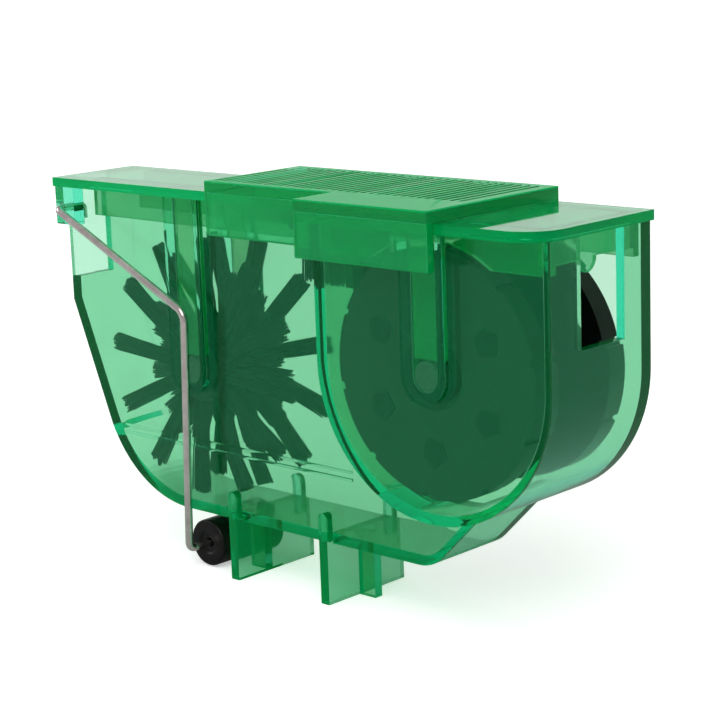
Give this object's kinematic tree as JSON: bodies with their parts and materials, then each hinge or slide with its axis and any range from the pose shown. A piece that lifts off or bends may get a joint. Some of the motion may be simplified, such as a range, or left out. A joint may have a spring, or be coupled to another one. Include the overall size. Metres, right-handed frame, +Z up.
{
  "type": "bicycle chain cleaner",
  "caption": "Clear plastic tank with a lid and cover clip, holding a rotary brush and a guide wheel that a bicycle chain runs through, and a hinged wire arm with a roller.",
  "frame": {"origin": "centre of the bounding box in plan, at the height of the ground the feet stand on", "axes": "+X along the tank from the brush end to the guide wheel end, +Y from the front to the back, +Z up through the lid"},
  "size_m": [0.1714, 0.0456, 0.102],
  "materials": {
    "clear_green_tank": "clear glossy moulded plastic",
    "clear_green_lid": "clear glossy moulded plastic",
    "clear_green_clip": "clear glossy moulded plastic with fine grip ribs",
    "clear_green_feet": "clear glossy moulded plastic",
    "black_bristle": "nylon bristle, cut ends",
    "black_plastic": "moulded, semi gloss",
    "grey_plastic": "moulded, speckled dark grey",
    "steel_wire": "drawn wire, bright",
    "spring_steel": "blued",
    "black_rubber": "smooth, satin"
  },
  "bodies": {
    "tank_body": {"tank": "clear_green_tank", "left_foot": "clear_green_feet", "right_foot": "clear_green_feet"},
    "lid_body": {"lid": "clear_green_lid", "wheel_axle_keepers": "clear_green_lid", "brush_axle_keepers": "clear_green_lid", "top_brush_block": "black_plastic", "top_brush_bristles": "black_bristle"},
    "clip_body": {"cover_clip": "clear_green_clip"},
    "brush_body": {"brush_axle": "grey_plastic", "brush_hub": "black_plastic", "front_brush_bristles": "black_bristle", "middle_brush_bristles": "black_bristle", "rear_brush_bristles": "black_bristle"},
    "wheel_body": {"wheel_axle": "grey_plastic", "wheel_core": "black_plastic", "wheel_front_disc": "black_plastic", "wheel_rear_disc": "black_plastic"},
    "arm_body": {"arm_wire": "steel_wire", "arm_push_nut": "spring_steel"},
    "roller_body": {"roller": "black_rubber"}
  },
  "joints": [
    {"name": "lid_lift", "type": "slide", "parent": "tank_body", "child": "lid_body", "axis": [0, 0, 1], "range_m": [0, 0.06]},
    {"name": "clip_lift", "type": "slide", "parent": "lid_body", "child": "clip_body", "axis": [0, 0, 1], "range_m": [0, 0.03]},
    {"name": "brush_turn", "type": "hinge", "parent": "tank_body", "child": "brush_body", "pos_m": [-0.03885, 0.00762, 0.0525], "axis": [0, 1, 0], "continuous": true},
    {"name": "wheel_turn", "type": "hinge", "parent": "tank_body", "child": "wheel_body", "pos_m": [0.05155, 0.00162, 0.0644], "axis": [0, 1, 0], "continuous": true},
    {"name": "arm_swing", "type": "hinge", "parent": "tank_body", "child": "arm_body", "pos_m": [-0.08305, -0.00438, 0.0909], "axis": [0, 1, 0], "range_deg": [0, 120]},
    {"name": "roller_turn", "type": "hinge", "parent": "arm_body", "child": "roller_body", "pos_m": [-0.03805, 0.00783, 0.0064], "axis": [0, 1, 0], "continuous": true}
  ]
}
